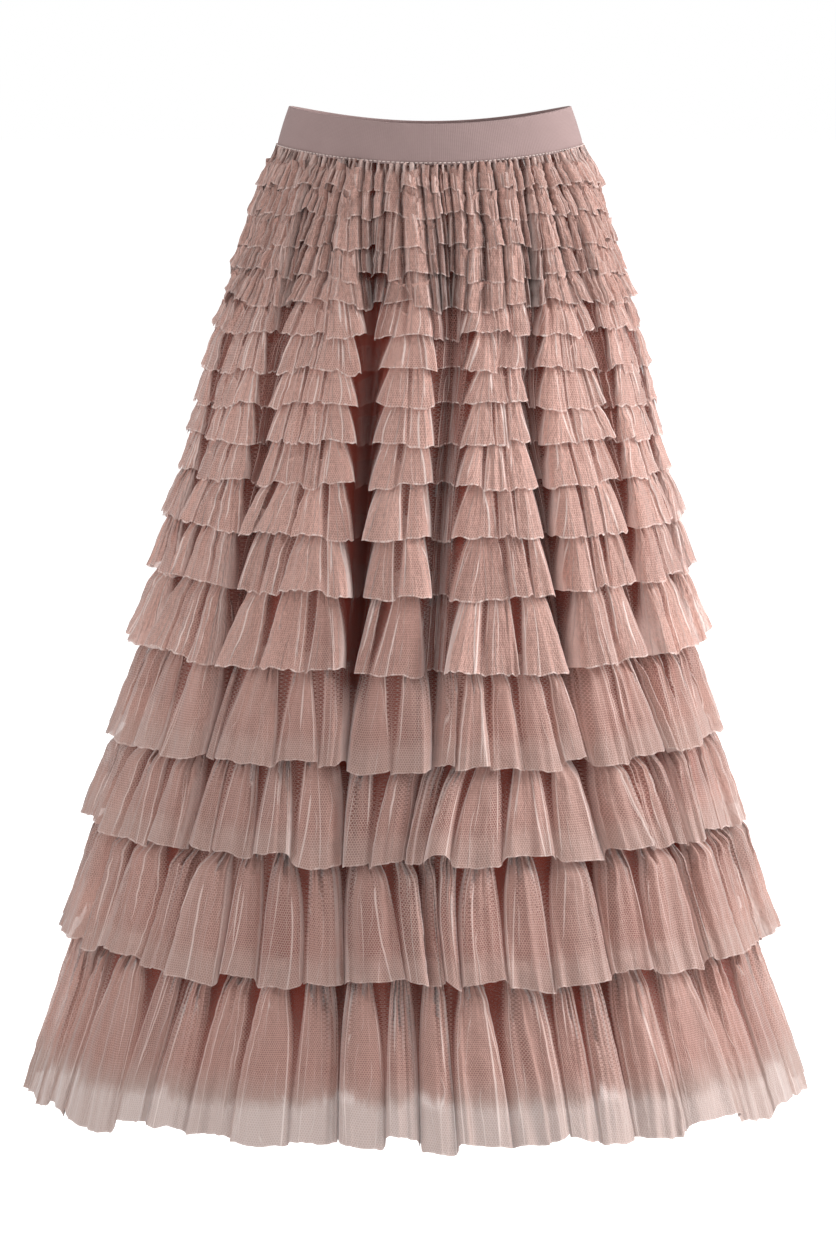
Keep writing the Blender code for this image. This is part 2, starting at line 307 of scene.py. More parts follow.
def ring_noise(part, knots, seed):
    """A smooth random wave from -1 to 1 round a ring: random knots, eased from one to the next."""
    values = np.random.default_rng(seed).uniform(-1.0, 1.0, knots)
    place = np.mod(part, 1.0) * knots
    index = np.floor(place).astype(int)
    t = ease(place - index)
    return values[index % knots] * (1.0 - t) + values[(index + 1) % knots] * t


def cloth_noise(part, down, knots, seed):
    """A smooth random relief from -1 to 1: knots round the ring, and one row of knots per unit down."""
    rows = 64
    values = np.random.default_rng(seed).uniform(-1.0, 1.0, (rows, knots))
    across, along = np.mod(part, 1.0) * knots, np.mod(down, float(rows))
    i, j = np.floor(across).astype(int), np.floor(along).astype(int)
    s, t = ease(across - i), ease(along - j)
    near, far = i % knots, (i + 1) % knots
    upper, lower = (values[row % rows, near] * (1.0 - s) + values[row % rows, far] * s for row in (j, j + 1))
    return upper * (1.0 - t) + lower * t


def fold_angles(levels):
    """Angle of each hanging fold's bottom at each level, as an array with one more axis for the folds."""
    angles = []
    for index, (turn, waist) in enumerate(zip(FOLD["turn"], FOLD["waist"])):
        points = ((FIRST_SEAM, waist),) + FOLD_BENDS.get(index, ()) + ((LOOKS[-1].hem, turn),)
        rows, values = np.array(points).T
        angles.append(smooth_through(-rows, values, -levels))
    return np.stack(angles, axis=-1)


def drift(turn, levels):
    """How many degrees each place has moved round from its turn: that of the folds, eased between them."""
    turns = FOLD["turn"]
    levels = np.broadcast_to(levels, np.shape(turn))
    moves = fold_angles(levels) - turns
    place = np.mod(turn - turns[0], 360.0) + turns[0]
    index = np.clip(np.searchsorted(turns, place, side="right") - 1, 0, len(turns) - 1)
    following = (index + 1) % len(turns)
    t = ease((place - turns[index]) / np.mod(turns[following] - turns[index], 360.0))
    near, far = (np.take_along_axis(moves, fold[..., None], axis=-1)[..., 0] for fold in (index, following))
    return near * (1.0 - t) + far * t


def turned_from(turn, bottom):
    """How many degrees a place lies from a fold's bottom, from -180 to 180."""
    return np.mod(turn - bottom + 180.0, 360.0) - 180.0


def over_folds(turn, weights, wide=1.0):
    """A weight for each hanging fold, spread over its width: the sum of weight exp(-(a / (wide lip))^4)."""
    total = np.zeros(np.shape(turn))
    for bottom, lip, weight in zip(FOLD["turn"], FOLD["lip"], weights):
        total += weight * np.exp(-((turned_from(turn, bottom) / (lip * wide)) ** 4))
    return total


def hip_pipes(turn, levels):
    """Upright pipes of the gathered hips: rounded ridges 1 - |2 f - 1|^3.2 of random width and height, and
    how strong they are at each level."""
    random = np.random.default_rng(11)
    ends = np.append(0.0, np.cumsum(random.uniform(*UNEVEN_WIDTHS, PIPES)))
    ends = ends * 360.0 / ends[-1]
    at_hips = turn + drift(turn, -0.06)
    place = np.mod(at_hips + 1.6 * ring_noise(at_hips / 360.0, 30, 12) * (1.0 - 12.0 * levels), 360.0)
    pipe = np.clip(np.searchsorted(ends, place, side="right") - 1, 0, PIPES - 1)
    part = (place - ends[pipe]) / (ends[pipe + 1] - ends[pipe])
    ridge = random.uniform(0.5, 1.0, PIPES)[pipe] * (1.0 - np.abs(2.0 * part - 1.0) ** 3.2)
    return ridge, smooth_step(0.008, 0.028, -levels) * (1.0 - smooth_step(0.09, 0.21, -levels))


def oval(angle, half_width, half_depth, stand):
    """Points that stand off an oval along its unit normal, which has the direction of
    (sin / half_width, -cos / half_depth), and that normal."""
    sine, cosine = np.sin(angle), np.cos(angle)
    across, along = sine / half_width, -cosine / half_depth
    length = np.hypot(across, along)
    x = half_width * sine + stand * across / length
    y = -half_depth * cosine + stand * along / length
    return x, y, np.stack(np.broadcast_arrays(across / length, along / length), axis=-1)


def skirt_points(turn, levels, out, keep=1.0, pinch=0.0, sideways=0.0, lift=0.0):
    """Points of a sheet that follows the skirt's form, and the oval's normal at each.

    The base is an oval, lowered at the front and back by its drop times cos^2 of the angle. Each hanging
    fold pushes the sheet in along the oval's normal by depth * exp(-1.97 |a / lip|^1.6), a being the turn
    from the fold's bottom, and pinch draws its lips in by close * a * exp(-(a / (PINCH_REACH * open))^4).
    keep is the share of the folds' depth that the sheet follows. out stands off along the normal, sideways
    moves along the oval, and lift moves up.
    """
    shape = np.broadcast(turn, levels, out).shape
    turn, levels = np.broadcast_to(turn, shape), np.broadcast_to(levels, shape)
    inset, drawn = np.zeros(shape), np.zeros(shape)
    for bottom, _, depth, lip, open_low, open_high, close_low, close_high, _ in FOLDS:
        away = turned_from(turn, bottom)
        inset += depth * np.exp(-1.97 * np.abs(away / lip) ** 1.6)
        reach = PINCH_REACH * np.where(away < 0.0, open_low, open_high)
        drawn += np.where(away < 0.0, close_low, close_high) * away * np.exp(-((away / reach) ** 4))
    ridge, strength = hip_pipes(turn, levels)
    inset = inset * body_at(levels, "fold") * keep + PIPE_DEPTH * strength * (0.6 - ridge)
    angle = np.radians(turn + drift(turn, levels) - pinch * drawn)
    half_width, half_depth = body_at(levels, "half_width"), body_at(levels, "half_depth")
    angle = angle + sideways / np.hypot(half_width * np.cos(angle), half_depth * np.sin(angle))
    x, y, normal = oval(angle, half_width, half_depth, out - inset)
    drop = np.where(np.cos(angle) > 0.0, body_at(levels, "front_drop"), body_at(levels, "back_drop"))
    z = levels - np.cos(angle) ** 2 * drop + lift
    return np.stack([x + body_at(levels, "centre_x"), y, z], axis=-1), normal


def waist_points(angle, level, half_width, stand, rise=0.0):
    """Points that stand off the waistband's oval at a level, which hangs lower at the front and back.

    The drop is the body form's own, times cos^2 of the angle. rise: how much less it is at the back.
    """
    x, y, _ = oval(angle, half_width, half_width * WAIST_DEPTH_RATIO, stand)
    drop = np.where(np.cos(angle) > 0.0, BODY["front_drop"][0], BODY["back_drop"][0] - rise)
    return np.stack(np.broadcast_arrays(x, y, level - np.cos(angle) ** 2 * drop), axis=-1)


def flutes(index):
    """A tier's flutes in order round the skirt: edges, how deep the cloth dips there, heights and veils.

    Where a hanging fold lies open, its gap is one low flute between its lips. Elsewhere the fold's bottom
    is one of the edges. The listed edges take the place of the random ones that they span.
    """
    look, random, turns = LOOKS[index], np.random.default_rng(100 + index), FOLD["turn"]
    starts = turns + FOLD["open_high"] * look.gap
    stops = np.append(turns[1:], turns[0] + 360.0) - np.roll(FOLD["open_low"] * look.gap, -1)
    found = []
    for start, stop, veil in zip(starts, stops, np.roll(FOLD["veil"], -1)):
        ends = np.array([start, stop])
        span = np.radians(np.diff(ends + drift(ends, look.hem))[0]) * look.half_width * MEAN_RADIUS
        count = max(2, int(round(span / look.flute)))
        widths = random.uniform(*UNEVEN_WIDTHS, count)
        edges = start + (stop - start) * np.append(0.0, np.cumsum(widths)[:-1]) / widths.sum()
        dips = np.append(1.0, np.clip(look.dip * random.uniform(0.55, 1.35, count - 1), 0.0, 1.0))
        low = random.uniform(0.0, 1.0, count) < LOW_SHARE
        heights = np.where(low, LOW_HEIGHT, random.uniform(*HEIGHTS, count))
        found.append(np.stack([edges, dips, heights, np.ones(count)]))
        if look.gap > 0.0:
            found.append(np.array([[stop], [1.0], [GAP_HEIGHT], [veil]]))
    found = np.concatenate(found, axis=1)
    chosen = np.array(SET_VALLEYS.get(index, ()))
    if len(chosen):
        chosen = chosen - drift(chosen, look.hem)
        margin = np.degrees(look.flute / look.half_width) * 0.45
        far = np.mod(found[0] - chosen[0] + margin, 360.0) > chosen[-1] - chosen[0] + 2.0 * margin
        edges = np.mod(chosen - turns[0], 360.0) + turns[0]
        dips = np.clip(random.uniform(0.75, 1.1, len(chosen)), 0.0, 1.0)
        heights = random.uniform(0.70, 1.05, len(chosen))
        found = np.concatenate([found[:, far], [edges, dips, heights, np.ones(len(chosen))]], axis=1)
    return found[:, np.argsort(found[0])]


def between_neighbours(values, cell, place):
    """One value per flute, eased halfway to the neighbour's over the last third of the flute."""
    neighbour = np.where(place > 0.0, cell + 1, cell - 1) % len(values)
    share = 0.5 * smooth_step(0.6, 1.0, np.abs(place))
    return values[cell] * (1.0 - share) + values[neighbour] * share


class Tier:
    """One gathered tier on a grid: rows down its cloth, and columns of points round it.

    place runs from -1 to 1 across each flute. cell is a point's flute, and side the edge that is nearer.
    half, half_metres: half the flute's width, in degrees and at the hem in metres. The first rows are the
    heading, which is sewn in and lies above metres over the seam.
    """

    def __init__(self, index, cloth):
        self.index, self.cloth, self.look = index, cloth, LOOKS[index]
        self.random = np.random.default_rng(cloth.seed * 100 + index)
        self.edges, self.dips, self.heights, self.veils = flutes(index)
        self.count = len(self.edges)
        self.upper, self.wide = index < UPPER_END, index >= FIRST_WIDE
        self.lay_out_grid()
        self.arch_flutes()
        self.hang_levels()
        self.draw_creases()
        self.points, self.normal = self.cloth_points()
        self.shade()

    def each(self, low, high):
        """A random value for each flute."""
        return self.random.uniform(low, high, self.count)

    def noise(self, knots, seed, part=None):
        """A random wave round the tier, with a seed of its own."""
        return ring_noise(self.part if part is None else part, knots, seed + self.index)

    def lay_out_grid(self):
        """Even steps across each flute, and rows whose shares grow as k^1.12 below the heading."""
        look, count, steps = self.look, self.count, self.look.steps
        self.place = np.tile(-1.0 + 2.0 * np.arange(steps) / steps, count)
        self.cell = np.repeat(np.arange(count), steps)
        self.side = np.where(self.place < 0.0, self.cell, (self.cell + 1) % count)
        ends = np.append(self.edges, self.edges[0] + 360.0)
        self.middle = (ends[self.cell] + ends[self.cell + 1]) / 2.0
        self.half = (ends[self.cell + 1] - ends[self.cell]) / 2.0
        half_metres = np.diff(ends + drift(ends, look.hem))[self.cell] / 2.0
        self.half_metres = np.radians(half_metres) * look.half_width * MEAN_RADIUS

        rows, high = (HEADING_ROWS, HEADING) if self.index else (1, FIRST_HEADING)
        down = np.linspace(0.0, 1.0, look.rows + 1) ** 1.12
        above = np.concatenate([np.linspace(high, 0.0, rows, endpoint=False), np.zeros(len(down))])[:, None]
        self.share = np.concatenate([np.zeros(rows), down])[:, None]
        self.sewn_in = above > 0.0
        ring = np.arange(count * steps) / (count * steps)
        self.above = above * (1.0 + 0.35 * self.noise(count * 3, 440, ring))
        self.opened = 1.0 - (1.0 - self.share) ** look.puff

    def arch_flutes(self):
        """How high and how far round each point of a flute lies.

        q = |place| / FLANK, and A is the flute's fullness. Up to q = 1 the cloth is an arch of the flute's
        width w: sideways w sin(A q) / sin A, outwards ((cos(A q) - cos A) / (1 - cos A))^0.8. The rest lies
        in the valley. w grows from the tier's spread at the seam to HEM_REACH at the hem, while the valley
        fills up towards the lower one of the flutes beside it.
        """
        place, side, share = np.abs(self.place), self.side, self.share
        full = (self.cloth.fullness + self.each(-0.16, 0.02))[self.cell]
        bent = np.minimum(place / FLANK, 1.0) * full
        self.arch = np.maximum((np.cos(bent) - np.cos(full)) / (1.0 - np.cos(full)), 0.0) ** 0.8
        lower = np.minimum(self.heights, np.roll(self.heights, 1))[side]
        floor = lower * (1.0 - self.dips[side])
        full_by = self.each(*((0.75, 1.0) if self.wide else (0.45, 0.95)))[side]
        filled = floor + (lower - floor) * full_by * share ** (1.0 if self.wide else 1.5)
        self.rise = filled + (self.heights[self.cell] - filled) * self.arch
        narrow = 1.0 - (1.0 - self.look.spread) * self.dips[side]
        width = narrow + (HEM_REACH - narrow) * self.opened
        valley = width + (1.0 - width) * (place - FLANK) / (1.0 - FLANK)
        off = np.where(place < FLANK, width * np.sin(bent) / np.sin(full), valley)
        self.turn = self.middle + self.half * np.sign(self.place) * off
        self.part = self.turn / 360.0

    def hang_levels(self):
        """Levels in a straight line from the seam to the hem, and how far down the cloth each row is.

        The seam lies SEAM_COVER above the hem of the tier before. Both hang lower by drop times cos^2.
        """
        look = self.look
        self.low = np.cos(np.radians(self.turn)) ** 2
        if self.index:
            before = LOOKS[self.index - 1]
            seam = before.hem + SEAM_COVER - before.hem_drop * self.low
        else:
            seam = np.full(self.turn.shape, FIRST_SEAM)
        self.levels = seam + (look.hem - look.hem_drop * self.low - seam) * self.share
        self.depth = float(np.mean(seam) - look.hem)
        self.down = self.share * self.depth

    def draw_creases(self):
        """Three upright creases at random places of each flute, of uneven length and a little bent.

        Each is the signed distance across the cloth to the crease over its own width, CREASE_WIDTH times
        how strong the crease is there, and is ENDED where it has ended. The third one is on the flute's
        shoulders, at |place| near 0.66.
        """
        cell, place, share = self.cell, self.place, self.share
        self.creases = []
        for number in range(3):
            bent = self.each(-0.14, 0.14)[cell] * np.sin(np.pi * share)
            slant = self.each(-0.25, 0.25)[cell] * share
            top, length, strength = (self.each(*ends)[cell] for ends in ((-0.3, 0.3), (0.5, 1.4), (0.0, 1.0)))
            away = place - self.each(-0.6, 0.6)[cell] * (0.5 + 0.5 * share**0.5) - slant - bent
            if number == 2:
                right = (place > 0.0).astype(int)
                at, strength, top, length = (
                    self.random.uniform(low, high, (2, self.count))[right, cell]
                    for low, high in ((0.58, 0.74), (0.5, 1.0), (-0.4, 0.05), (0.9, 1.6))
                )
                away = np.abs(place) - at - 0.3 * bent
            ends = smooth_step(0.0, 0.12, share - top) * smooth_step(0.0, 0.30, top + length - share)
            width = CREASE_WIDTH * np.maximum(strength * ends, 1e-4)
            self.creases.append(np.clip(away * self.half_metres / width, -ENDED, ENDED))

    def relief(self):
        """Gathers and their phase, soft folds and crumples.

        Gathers are cosines of place that fade at their own rate down the tier. Soft folds are
        1 - 1.9 |noise|, and both end at the valleys as 1 - place^4. Crumples are a random relief.
        """
        look, share, count = self.look, self.share, self.count
        fade = 0.10 + 0.50 * (0.5 + 0.5 * self.noise(count * 3, 300)) ** 2
        wander = 0.8 * self.noise(count, 400) + 1.1 * share * self.noise(count // 2, 410)
        phase = np.pi * look.pleats * self.place + wander
        window = 1.0 - self.place**4
        gathers = look.gather * (0.6 if self.upper else 1.0) * np.exp(-share / fade) * window
        gathers = gathers * np.where(self.sewn_in, 0.25, 1.0)
        drawn = self.part + 0.12 * look.flute * share * self.noise(count, 420)
        soft = look.soft * (1.0 - 1.9 * np.abs(self.noise(count * 4, 430, drawn)))
        soft = soft * share**0.5 * window * (0.4 + 0.6 * self.heights[self.cell])
        grain = CRUMPLE_WIDTHS[0 if self.upper else 1]
        knots = int(count * look.flute / grain)
        crumpled = cloth_noise(self.part, self.down / grain + self.above / 0.006, knots, 500 + self.index)
        crumpled = look.crumple * crumpled
        crumpled = crumpled * np.where(self.sewn_in, 0.2, 0.45 + 0.55 * np.exp(-share / 0.35))
        return gathers, phase, soft + crumpled

    def cloth_points(self):
        """The tier's points: flutes that stand off the form by crest * rise, with the relief on them."""
        look, share, place, cell, low = self.look, self.share, self.place, self.cell, self.low
        flare = look.half_width - float(body_at(np.array([look.hem]), "half_width")[0])
        base = SEAM_OUT + HEM_MORE_OUT * share
        crest = flare - CREST_INSET + 0.14 * look.flute * low
        crest = crest * (1.0 - 0.8 * low * (1.0 - smooth_step(0.06, 0.20, -look.hem)))
        early = min(0.15 * look.puff, 0.5)
        stand = (1.0 - early) * share**0.85 + early * smooth_step(0.003, 0.018, self.down)
        gathers, phase, relief = self.relief()
        ridges = sum(np.exp(-0.25 * np.square(line)) for line in self.creases) * ~self.sewn_in
        out = base + crest * self.rise * stand + gathers * np.cos(phase) + relief + CREASE_RIDGE * ridges
        out = self.band_gathers(out, base)
        out = np.maximum(out - 0.0008 * self.sewn_in, LEAST_OUT)

        lean = self.cloth.lean * self.noise(26, 600)
        sideways = lean * np.maximum(out - base, 0.0) - 0.75 * gathers * np.sin(2.0 * phase)
        longer = between_neighbours(self.each(-1.0, 1.0), cell, place)
        longer = longer + 0.30 * self.noise(self.count * 3, 700)
        raised = (out - base) ** 2 / (2.0 * self.depth)
        lift = self.above + look.uneven * longer * share**1.5 + raised * share
        frayed = HEM_FRAYS[0 if self.upper or self.wide else 1]
        lift = lift + frayed * share**6 * self.noise(self.count * look.steps // 3, 710)
        lift = lift + 0.6 * look.uneven * self.each(-1.0, 1.0)[cell] * place * share**2
        over = 0.35 * self.arch + 0.50 * self.wide * (1.0 - 0.35 * self.arch)
        keep = (1.0 - (1.0 - HEM_FOLD_KEEP) * share) * (1.0 - over * share**0.5)
        keep = keep * (1.0 - 0.20 * np.clip(self.index - FIRST_WIDE + 1, 0, 3))
        return skirt_points(self.turn, self.levels, out, keep, look.close * self.opened, sideways, lift)

    def band_gathers(self, out, base):
        """Gathers like teeth right under the waistband, on the first tier alone.

        They are 0.5 + 0.5 cos of the angle round the waist, and fade as exp(-(down / TEETH_FADE)^4).
        """
        self.teeth, self.near_band = np.zeros(1), np.zeros(1)
        if self.index:
            return out
        round_waist = (self.turn + drift(self.turn, FIRST_SEAM)) / 360.0
        wander = 1.5 * ring_noise(round_waist, 60, 13)
        self.teeth = 0.5 + 0.5 * np.cos(2.0 * np.pi * TEETH * round_waist + wander)
        self.near_band = np.exp(-((self.down / TEETH_FADE) ** 4))
        flat = base + (out - base) * (1.0 - 0.8 * self.near_band)
        return flat + TEETH_DEPTH * (self.teeth - 0.5) * self.near_band

    def shade(self):
        """Point values of the net.

        hollow: how deep it lies in a valley, on a low flute, in a groove between pipes, in a hanging fold or
        between the gathers under the band, which the material paints as shade. It grows as the arch falls under
        0.45, and its first part also thins the net. thin: how dense the net is beside one full layer. It is less
        in the valleys, where the cloth is stretched, and over the hanging folds near a seam. tone: how light the
        net is painted: the tier's painted light and shade, times a random tone for each flute. lines: a painted
        highlight on the tips of the gathers under the band.
        """
        turn, cell, share, look = self.turn, self.cell, self.share, self.look
        veils, dips = self.veils[cell], self.dips[self.side]
        # Painted shade in the valleys between flutes, weaker down the tier; gap flutes get it in full.
        hollow = smooth_step(0.45, 0.0, self.arch) * dips * (1.0 - (0.95 if self.wide else 0.5) * share)
        if self.wide:
            hollow = hollow * (0.62 + 0.38 * self.noise(26, 730))
        hollow = np.where(veils < 1.0, 1.0, hollow)
        thin = np.where(veils < 1.0, veils, 1.0 - 0.85 * hollow)
        ridge, strength = hip_pipes(turn, self.levels)
        groove = strength * smooth_step(0.52, 0.12, ridge)
        thin = thin * (1.0 - 0.45 * groove)
        # Painted shade in the grooves between pipes and on low flutes.
        hollow = np.maximum(hollow, groove)
        hollow = np.maximum(hollow, 0.5 * (1.0 - np.minimum(self.heights[cell], 1.0)) * (1.0 - 0.5 * share))
        if self.index and look.gap == 0.0:
            bare = 1.0 - FOLD["veil"]
            top, end = (0.008, 0.045) if self.index == FIRST_WIDE else (0.004, 0.014)
            thin = thin * (1.0 - over_folds(turn, bare) * (1.0 - smooth_step(top, end, self.down)))
            thin = thin * (1.0 - np.minimum(1.8 * over_folds(turn, bare, 1.35), 1.0) * self.sewn_in)
        thin = thin * self.each(0.75, 1.1)[cell]
        if FIRST_WIDE - 1 <= self.index < len(TIERS) - 1:
            thin = np.maximum(thin, 2.2 * np.sin(np.radians(turn)) ** 4 * smooth_step(0.2, 0.7, share))
        # Painted shade between the gathers under the band.
        hollow = np.maximum(hollow, self.near_band * smooth_step(0.62, 0.35, self.teeth))
        # Painted shade over the hanging folds.
        if self.index in FOLD_SHADES:
            deep = np.minimum(over_folds(turn, FOLD["depth"] / FULL_SHADE_DEPTH), 1.0)
            hollow = np.maximum(hollow, FOLD_SHADES[self.index] * deep)
        dense = np.clip(thin, 0.1, 1.0)
        self.creases = [np.where(self.sewn_in, ENDED, line / dense) for line in self.creases]
        # Painted light and shade by tier, times a random tone for each flute.
        self.tone = look.tone * between_neighbours(self.each(0.90, 1.07), cell, self.place)
        # Painted highlight on the tips of the gathers under the band.
        self.lines = 0.55 * self.near_band * smooth_step(0.60, 0.90, self.teeth) * thin
        self.hollow, self.thin = hollow, thin

    def point_values(self):
        """What the net's material reads.

        layers: how many layers of cloth lie in view, which is the step along the hem over the step here,
        and more where the cloth is seen from its edge. crease: how dense its edge-on sides look, which also
        gives them and the tips of the gathers under the band a painted highlight. Each crease gets thinner as
        the cloth is stretched.
        """
        points = self.points
        down = np.gradient(points, axis=0)
        along = np.roll(points, -1, axis=1) - np.roll(points, 1, axis=1)
        normal = np.cross(down, along)
        normal = normal / np.maximum(np.linalg.norm(normal, axis=2, keepdims=True), 1e-12)
        facing = np.abs((normal[..., :2] * self.normal).sum(axis=-1))
        step = np.linalg.norm(along, axis=2) / 2.0
        layers = np.clip(step[-1] / np.maximum(step, 1e-5), 0.35, 3.0)
        layers = (np.roll(layers, 1, axis=1) + layers + np.roll(layers, -1, axis=1)) / 3.0
        # Edge-on sides: denser net and a painted highlight.
        edge_on = 0.8 * smooth_step(0.45, 0.95, 1.0 - facing) * self.thin
        stretched = np.maximum(0.5 * step * self.look.steps / (2.0 * self.half_metres), 1.0)
        values = dict(zip(CREASE_LABELS, (line * stretched for line in self.creases)))
        values.update(
            crease=np.maximum(edge_on, self.lines),
            layers=layers * self.thin / np.maximum(facing, 0.4),
            hollow=self.hollow,
            tone=self.tone,
        )
        return values


def along_line(points):
    """Distance along a line of points, from its first one."""
    return np.append(0.0, np.cumsum(np.linalg.norm(np.diff(points, axis=0), axis=1)))


def along_ring(ring):
    """Distance along a closed ring at each of its points, and all the way round."""
    return along_line(np.concatenate([ring, ring[:1]]))


def corners(near, far):
    """The four corners of each face, from the values in its near and its far column."""
    return np.stack([near[:-1], near[1:], far[1:], far[:-1]], axis=-1)


def ring_sheet(name, points, cloth_x, cloth_y, values, material, closed=False):
    """A mesh through rows of ring points, with the cloth's own measures as its UV map.

    cloth_x has one more column than points, for the far end of the strip. values are point attributes.
    closed joins the last row to the first one where they meet.
    """
    rows, count = points.shape[:2]
    index = np.arange(rows * count).reshape(rows, count)
    quads = corners(index, np.roll(index, -1, axis=1)).reshape(-1, 4)
    mesh = bpy.data.meshes.new(name)
    mesh.vertices.add(rows * count)
    mesh.vertices.foreach_set("co", points.reshape(-1, 3).astype(np.float32).ravel())
    mesh.loops.add(quads.size)
    mesh.loops.foreach_set("vertex_index", quads.astype(np.int32).ravel())
    mesh.polygons.add(len(quads))
    mesh.polygons.foreach_set("loop_start", np.arange(0, quads.size, 4, dtype=np.int32))
    left, right = (np.broadcast_to(x, (rows, count)) for x in (cloth_x[..., :-1], cloth_x[..., 1:]))
    high = np.broadcast_to(cloth_y, (rows, count))
    uv = np.stack([corners(left, right), corners(high, np.roll(high, -1, axis=1))], axis=-1)
    mesh.uv_layers.new(name="cloth").data.foreach_set("uv", uv.astype(np.float32).ravel())
    for label, data in values.items():
        attribute = mesh.attributes.new(label, "FLOAT", "POINT")
        attribute.data.foreach_set("value", np.broadcast_to(data, (rows, count)).astype(np.float32).ravel())
    mesh.update()
    mesh.validate()
    if closed:
        joined = bmesh.new()
        joined.from_mesh(mesh)
        bmesh.ops.remove_doubles(joined, verts=joined.verts, dist=1e-6)
        joined.to_mesh(mesh)
        joined.free()
    return add_piece(name, mesh, material)


def add_piece(name, mesh, material):
    """A smooth piece with its material, in the scene."""
    mesh.polygons.foreach_set("use_smooth", np.ones(len(mesh.polygons), bool))
    mesh.materials.append(material)
    piece = bpy.data.objects.new(name, mesh)
    bpy.context.scene.collection.objects.link(piece)
    return piece


class Shade:
    """A value, vector or colour that shader nodes work out. What is done with it adds nodes to its tree."""

    def __init__(self, socket):
        self.socket = socket

    def node(self, kind, inputs, output=0, **settings):
        """A new node's result."""
        return Shade(add_node(self.socket.id_data, kind, inputs, **settings).outputs[output])

    def maths(self, operation, *values, clamp=False):
        """A math node's result."""
        return self.node("ShaderNodeMath", dict(enumerate(values)), operation=operation, use_clamp=clamp)

    def __add__(self, other):
        return self.maths("ADD", self, other)

    def __sub__(self, other):
        return self.maths("SUBTRACT", self, other)

    def __rsub__(self, other):
        return self.maths("SUBTRACT", other, self)

    def __mul__(self, other):
        return self.maths("MULTIPLY", self, other)

    def __rtruediv__(self, other):
        return self.maths("DIVIDE", other, self)

    def __pow__(self, other):
        return self.maths("POWER", self, other)

    def __abs__(self):
        return self.maths("ABSOLUTE", self)

    def larger(self, other):
        """The larger of two values."""
        return self.maths("MAXIMUM", self, other)

    def vector(self, operation, *values, output=0):
        """A vector math node's result, with this vector first."""
        inputs = dict(enumerate((self,) + values))
        return self.node("ShaderNodeVectorMath", inputs, output, operation=operation)

    def axis(self, number):
        """One component of a vector."""
        return self.node("ShaderNodeSeparateXYZ", {0: self}, number)

    def ranged(self, low, high, to_low, to_high, kind="LINEAR"):
        """The value with low to high turned into to_low to to_high, and clamped."""
        inputs = {"Value": self, "From Min": low, "From Max": high, "To Min": to_low, "To Max": to_high}
        return self.node("ShaderNodeMapRange", inputs, interpolation_type=kind)

    def tinted(self, colour):
        """A colour multiplied by this tone."""
        inputs = {0: 1.0, 6: rgba(colour), 7: self}
        return self.node("ShaderNodeMix", inputs, 2, data_type="RGBA", blend_type="MULTIPLY")

    def blended(self, factor, other):
        """This colour, with a factor of another one in its place."""
        return self.node("ShaderNodeMix", {0: factor, 6: self, 7: other}, 2, data_type="RGBA")

    def texture(self, kind, output=0, **inputs):
        """A texture's result at this place. A wave runs along an axis that its input Along names."""
        settings = {"bands_direction": inputs.pop("Along")} if "Along" in inputs else {}
        return self.node(f"ShaderNodeTex{kind}", {"Vector": self, **inputs}, output, **settings)

    def bump(self, strength, distance):
        """The normal of a relief with this height."""
        return self.node("ShaderNodeBump", {"Height": self, "Strength": strength, "Distance": distance})


def add_node(tree, kind, inputs=(), **settings):
    """Adds a shader node, sets its settings, and links or sets each named or numbered input."""
    node = tree.nodes.new(kind)
    for key, value in settings.items():
        setattr(node, key, value)
    for key, value in dict(inputs).items():
        if isinstance(value, Shade):
            tree.links.new(value.socket, node.inputs[key])
        else:
            node.inputs[key].default_value = value
    return node


def rgba(colour, light=1.0):
    """A colour with full alpha."""
    return tuple(light * np.array(colour)) + (1.0,)


def new_group(name, numbers, outputs):
    """A shader node group that reads the cloth map and the numbers, named with their defaults.

    Gives what the group reads, by name, and a function that puts out a result.
    """
    group = bpy.data.node_groups.new(name, "ShaderNodeTree")
    group.interface.new_socket("Cloth", in_out="INPUT", socket_type="NodeSocketVector")
    for label, default in numbers.items():
        socket = group.interface.new_socket(label, in_out="INPUT", socket_type="NodeSocketFloat")
        socket.default_value = default
    for label in outputs:
        group.interface.new_socket(label, in_out="OUTPUT", socket_type="NodeSocketFloat")
    given, made = group.nodes.new("NodeGroupInput").outputs, group.nodes.new("NodeGroupOutput").inputs
    given = {socket.name: Shade(socket) for socket in given if socket.name}
    return given, lambda label, shade: group.links.new(shade.socket, made[label])


def placed_group(tree, name, place, **numbers):
    """The results of a node group, by name, with its own values in a material."""
    group = bpy.data.node_groups[name]
    node = add_node(tree, "ShaderNodeGroup", {"Cloth": place, **numbers}, node_tree=group)
    return {socket.name: Shade(socket) for socket in node.outputs}


def bobbin_net_group():
    """Hexagonal net: distance to the nearest cell edge of a hexagon tiling, turned into threads.

    Two offset grids hold the hexagons' centres. A point takes the nearer centre, and its distance from
    the cell's edge is 0.5 less the larger of |x| and |x| / 2 + 0.866 |y|.
    """
    given, put_out = new_group("bobbin_net", {"Cell": 0.0012, "Thread": 0.16}, ("Thread Mask",))
    repeat, centre = (1.0, 2.0 * HEXAGON_ROW, 1.0), (0.5, HEXAGON_ROW, 0.0)
    cloth = given["Cloth"]
    scaled = cloth.node("ShaderNodeVectorMath", {0: cloth, "Scale": 1.0 / given["Cell"]}, operation="SCALE")
    grids = (scaled, scaled.vector("ADD", centre))
    first, second = (grid.vector("MODULO", repeat).vector("SUBTRACT", centre) for grid in grids)
    first_far, second_far = (grid.vector("LENGTH", output="Value") for grid in (first, second))
    nearer = first_far.maths("LESS_THAN", first_far, second_far)
    chosen = nearer.node("ShaderNodeMix", {0: nearer, 4: second, 5: first}, 1, data_type="VECTOR")
    size = chosen.vector("ABSOLUTE")
    slanted, upright = (size.vector("DOT_PRODUCT", way, output="Value") for way in (centre, (1.0, 0.0, 0.0)))
    from_edge, thread = 0.5 - slanted.larger(upright), given["Thread"]
    put_out("Thread Mask", from_edge.ranged(thread * 0.5, thread, 1.0, 0.0))


